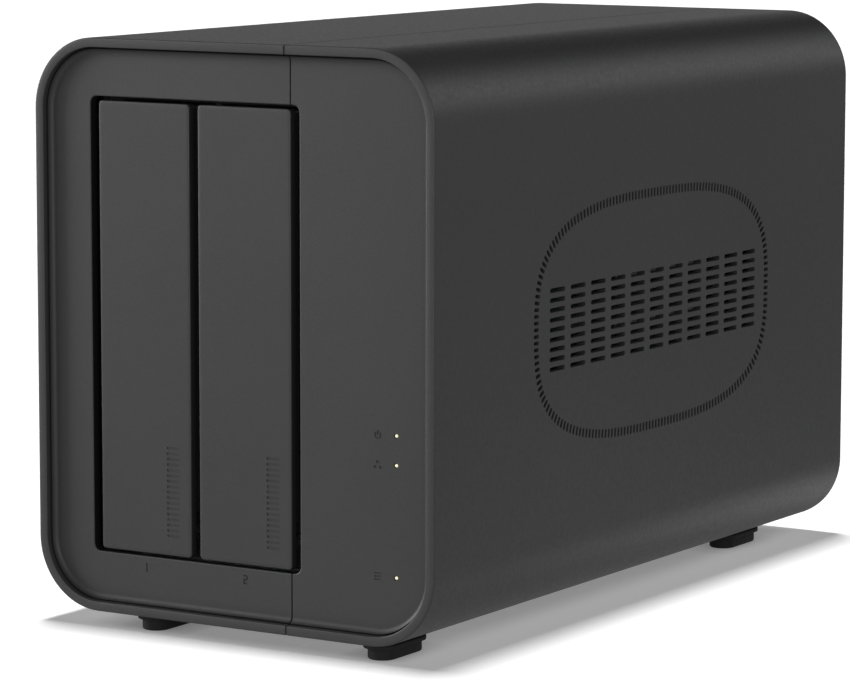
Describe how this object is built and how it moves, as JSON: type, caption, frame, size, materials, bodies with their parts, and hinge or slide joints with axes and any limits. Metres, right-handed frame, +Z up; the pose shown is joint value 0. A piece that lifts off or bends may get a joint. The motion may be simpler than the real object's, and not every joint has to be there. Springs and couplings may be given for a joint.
{
  "type": "network attached storage",
  "caption": "Upright dark grey desktop network storage enclosure with rounded edges, side by side drive trays behind push-latch levers, status lights, and vent slots in the side wall.",
  "frame": {"origin": "on the surface it stands on, under the middle of the enclosure", "axes": "+Z up, -Y out of the front with the drive bays, +X to the right seen from the front"},
  "size_m": [0.119, 0.222, 0.15],
  "materials": {
    "shell": "fine textured dark grey moulding",
    "tray": "fine textured dark grey moulding",
    "carrier": "moulded black plastic",
    "rubber": "moulded black rubber",
    "steel": "zinc plated steel",
    "rear_panel": "fine textured black paint",
    "aluminium": "extruded, bare",
    "drive": "cast case, bare",
    "board": "green solder mask on glass fibre board",
    "chip": "moulded package",
    "black_plastic": "moulded black plastic",
    "button": "smooth black plastic",
    "socket_metal": "stamped shield",
    "plunger": "white acetal",
    "lens": "clear light guide"
  },
  "bodies": {
    "enclosure": {"main_housing": "shell", "side_cover": "shell", "rear_panel": "rear_panel", "drive_cage": "steel", "bay_guide_bottom": "black_plastic", "bay_guide_top": "black_plastic", "fan_frame": "black_plastic", "power_switch": "black_plastic", "main_board": "board", "backplane": "board", "indicator_board": "board", "memory_module": "board", "processor": "chip", "heatsink": "aluminium", "memory_socket": "black_plastic", "clock_battery": "steel", "lan_port_1": "socket_metal", "lan_port_2": "socket_metal", "usb_port_1": "socket_metal", "usb_port_2": "socket_metal", "hdmi_port": "socket_metal", "dc_jack": "black_plastic", "sata_socket_1": "black_plastic", "sata_socket_2": "black_plastic", "foot_front_left": "rubber", "foot_front_right": "rubber", "foot_rear_left": "rubber", "foot_rear_right": "rubber", "fan_screw_1": "steel", "board_screw_1": "steel", "fan_screw_2": "steel", "board_screw_2": "steel", "fan_screw_3": "steel", "board_screw_3": "steel", "fan_screw_4": "steel", "board_screw_4": "steel", "panel_screw_1": "steel", "thumb_screw_1": "steel", "panel_screw_2": "steel", "thumb_screw_2": "steel", "light_pipe_1": "lens", "light_pipe_2": "lens", "light_pipe_3": "lens"},
    "tray_1": {"tray_1_carrier": "carrier", "tray_1_latch": "black_plastic", "tray_1_hinge_pin": "steel", "tray_1_lever_spring": "steel", "hard_drive_1": "drive"},
    "tray_1_lever": {"tray_1_lever": "tray"},
    "tray_1_plunger": {"tray_1_plunger": "plunger"},
    "tray_2": {"tray_2_carrier": "carrier", "tray_2_latch": "black_plastic", "tray_2_hinge_pin": "steel", "tray_2_lever_spring": "steel", "hard_drive_2": "drive"},
    "tray_2_lever": {"tray_2_lever": "tray"},
    "tray_2_plunger": {"tray_2_plunger": "plunger"},
    "fan_rotor": {"fan_rotor": "black_plastic"},
    "power_button": {"power_button": "button"}
  },
  "joints": [
    {"name": "tray_1_slide", "type": "slide", "parent": "enclosure", "child": "tray_1", "axis": [0, -1, 0], "range_m": [0, 0.15]},
    {"name": "tray_1_lever_hinge", "type": "hinge", "parent": "tray_1", "child": "tray_1_lever", "pos_m": [-0.02772, -0.1036, 0.0261], "axis": [1, 0, 0], "range_deg": [0, 50]},
    {"name": "tray_1_plunger_press", "type": "slide", "parent": "tray_1", "child": "tray_1_plunger", "axis": [0, 1, 0], "range_m": [0, 0.0015], "stiffness_N_per_m": 400},
    {"name": "tray_2_slide", "type": "slide", "parent": "enclosure", "child": "tray_2", "axis": [0, -1, 0], "range_m": [0, 0.15]},
    {"name": "tray_2_lever_hinge", "type": "hinge", "parent": "tray_2", "child": "tray_2_lever", "pos_m": [0.00257, -0.1036, 0.0261], "axis": [1, 0, 0], "range_deg": [0, 50]},
    {"name": "tray_2_plunger_press", "type": "slide", "parent": "tray_2", "child": "tray_2_plunger", "axis": [0, 1, 0], "range_m": [0, 0.0015], "stiffness_N_per_m": 400},
    {"name": "fan_spin", "type": "hinge", "parent": "enclosure", "child": "fan_rotor", "pos_m": [-0.014, 0.09, 0.077], "axis": [0, 1, 0], "continuous": true},
    {"name": "power_button_press", "type": "slide", "parent": "enclosure", "child": "power_button", "axis": [0, -1, 0], "range_m": [0, 0.001], "stiffness_N_per_m": 800}
  ]
}
